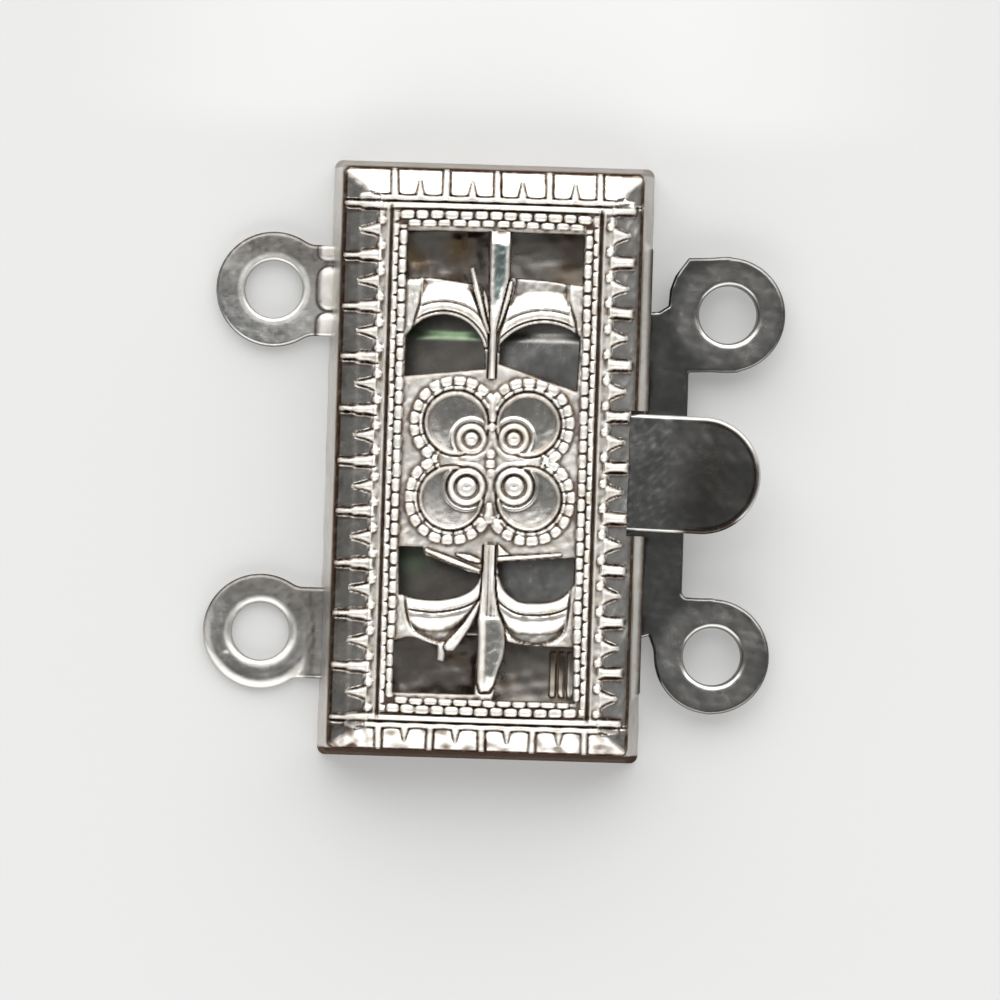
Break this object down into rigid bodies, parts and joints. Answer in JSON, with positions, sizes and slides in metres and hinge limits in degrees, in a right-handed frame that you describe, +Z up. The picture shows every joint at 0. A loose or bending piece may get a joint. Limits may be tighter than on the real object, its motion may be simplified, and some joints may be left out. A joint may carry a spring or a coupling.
{
  "type": "two-strand box clasp",
  "caption": "Rectangular filigree box clasp for a multi-strand necklace or bracelet, closed, with a spring tongue pressed at a thumb tab to open.",
  "frame": {"origin": "on the surface the clasp lies on, under the middle of the whole piece", "axes": "+Z up through the pierced cover, +X towards the tongue, +Y along the box"},
  "size_m": [0.0164, 0.017, 0.0031],
  "materials": {
    "bright_plate": "bright silver-coloured plating on stamped brass, tarnished brown in the recesses",
    "strip_plate": "rolled strip with silver-coloured plating, fine rolling lines and handling marks"
  },
  "bodies": {
    "box": {"cover": "bright_plate", "back_plate": "bright_plate"},
    "tongue": {"tongue_plate": "strip_plate"},
    "leaf": {"spring_leaf": "strip_plate", "thumb_tab": "strip_plate"}
  },
  "joints": [
    {"name": "tongue_draw", "type": "slide", "parent": "box", "child": "tongue", "axis": [1, 0, 0], "range_m": [0, 0.009], "deforming": ["spring_leaf"]},
    {"name": "tab_press", "type": "hinge", "parent": "tongue", "child": "leaf", "pos_m": [-0.00354, -0.00014, 0.0011], "axis": [0.0175, 0.9998, 0], "range_deg": [0, 5.5], "stiffness_Nm_per_rad": 0.3}
  ]
}
